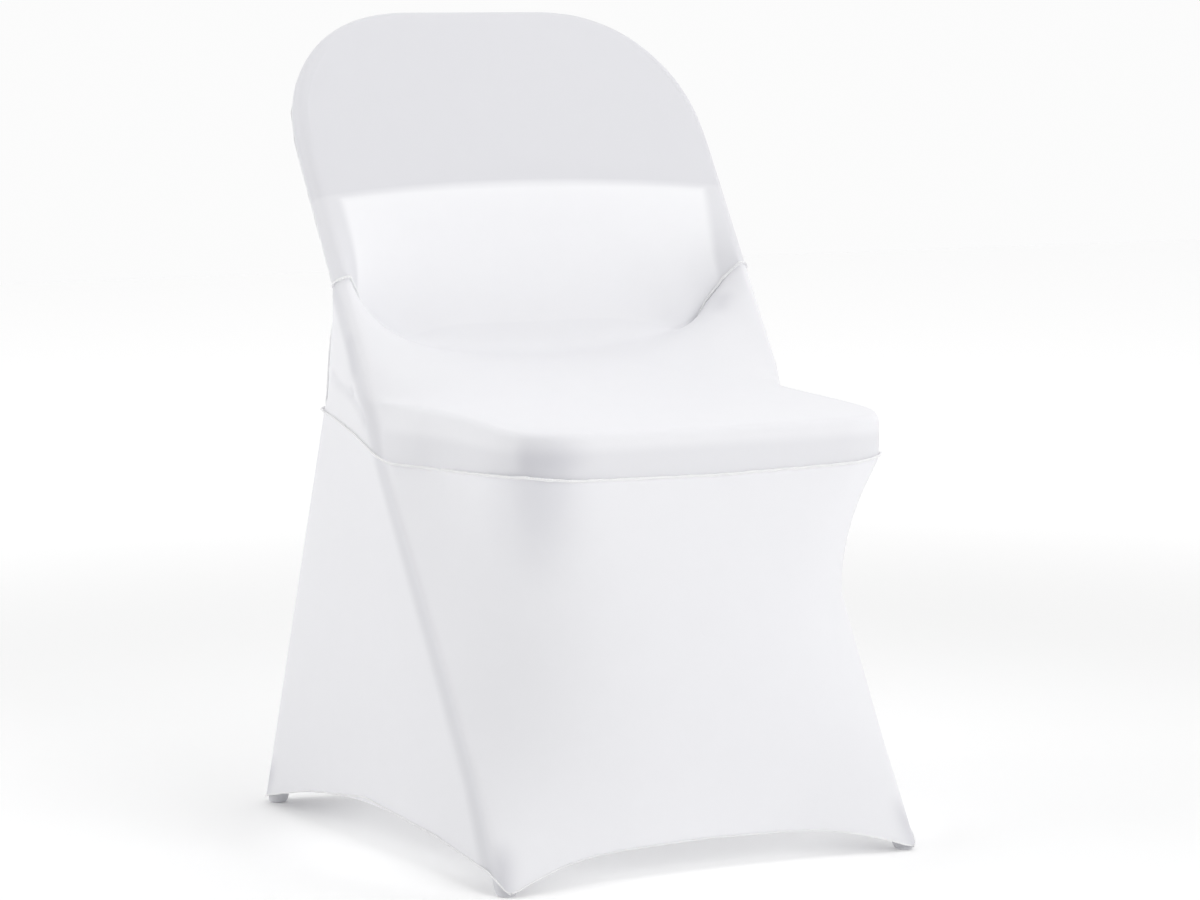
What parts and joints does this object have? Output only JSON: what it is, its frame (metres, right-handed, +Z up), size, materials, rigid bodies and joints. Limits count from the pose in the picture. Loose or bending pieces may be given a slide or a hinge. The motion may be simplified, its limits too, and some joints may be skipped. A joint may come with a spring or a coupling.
{
  "type": "fitted folding chair cover",
  "caption": "Plain white stretch knit cover pulled tight over a folding chair, with a back sleeve, a seat panel, a skirt to the floor and foot pockets.",
  "frame": {"origin": "under the cloth at the middle of the back sleeve's top, where it hangs on the chair's back", "axes": "+Z up, the seat faces -Y, +X to the right when seen from the front"},
  "size_m": [0.47, 0.5136, 0.786],
  "materials": {
    "back_cloth": "smooth stretch knit",
    "seat_cloth": "smooth stretch knit",
    "skirt_cloth": "smooth stretch knit",
    "rear_cloth": "smooth stretch knit",
    "pocket_cloth": "doubled stretch knit"
  },
  "bodies": {
    "root": {"back_front_panel": "back_cloth", "seat_panel": "seat_cloth", "skirt_panel": "skirt_cloth", "rear_panel": "rear_cloth", "foot_pocket_front_left": "pocket_cloth", "foot_pocket_front_right": "pocket_cloth", "foot_pocket_rear_left": "pocket_cloth", "foot_pocket_rear_right": "pocket_cloth"}
  },
  "joints": []
}
